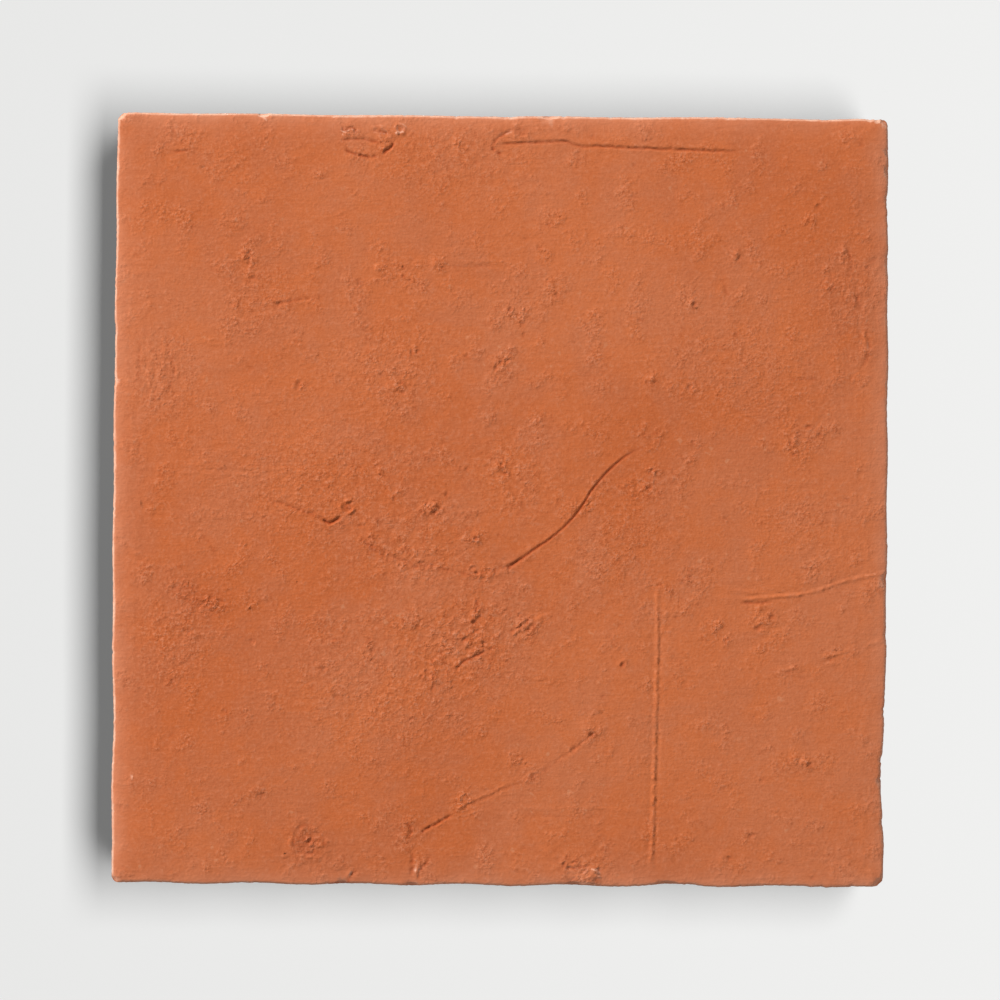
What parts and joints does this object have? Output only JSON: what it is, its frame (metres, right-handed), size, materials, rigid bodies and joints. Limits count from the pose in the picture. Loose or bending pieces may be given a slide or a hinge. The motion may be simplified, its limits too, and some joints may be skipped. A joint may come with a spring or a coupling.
{
  "type": "terracotta floor tile",
  "caption": "Square handmade floor tile of unglazed fired clay, slightly out of square, with wavy sides, eased and chipped arrises and a trowelled face.",
  "frame": {"origin": "middle of the tile's bounding box, on the plane of its back, which rests on the floor", "axes": "+Z through the thickness, out of the trowelled face; +X across the width and +Y along the length, parallel to the nominal sides"},
  "size_m": [0.2014, 0.2008, 0.02],
  "materials": {
    "terracotta": "matte"
  },
  "bodies": {
    "root": {"tile": "terracotta"}
  },
  "joints": []
}
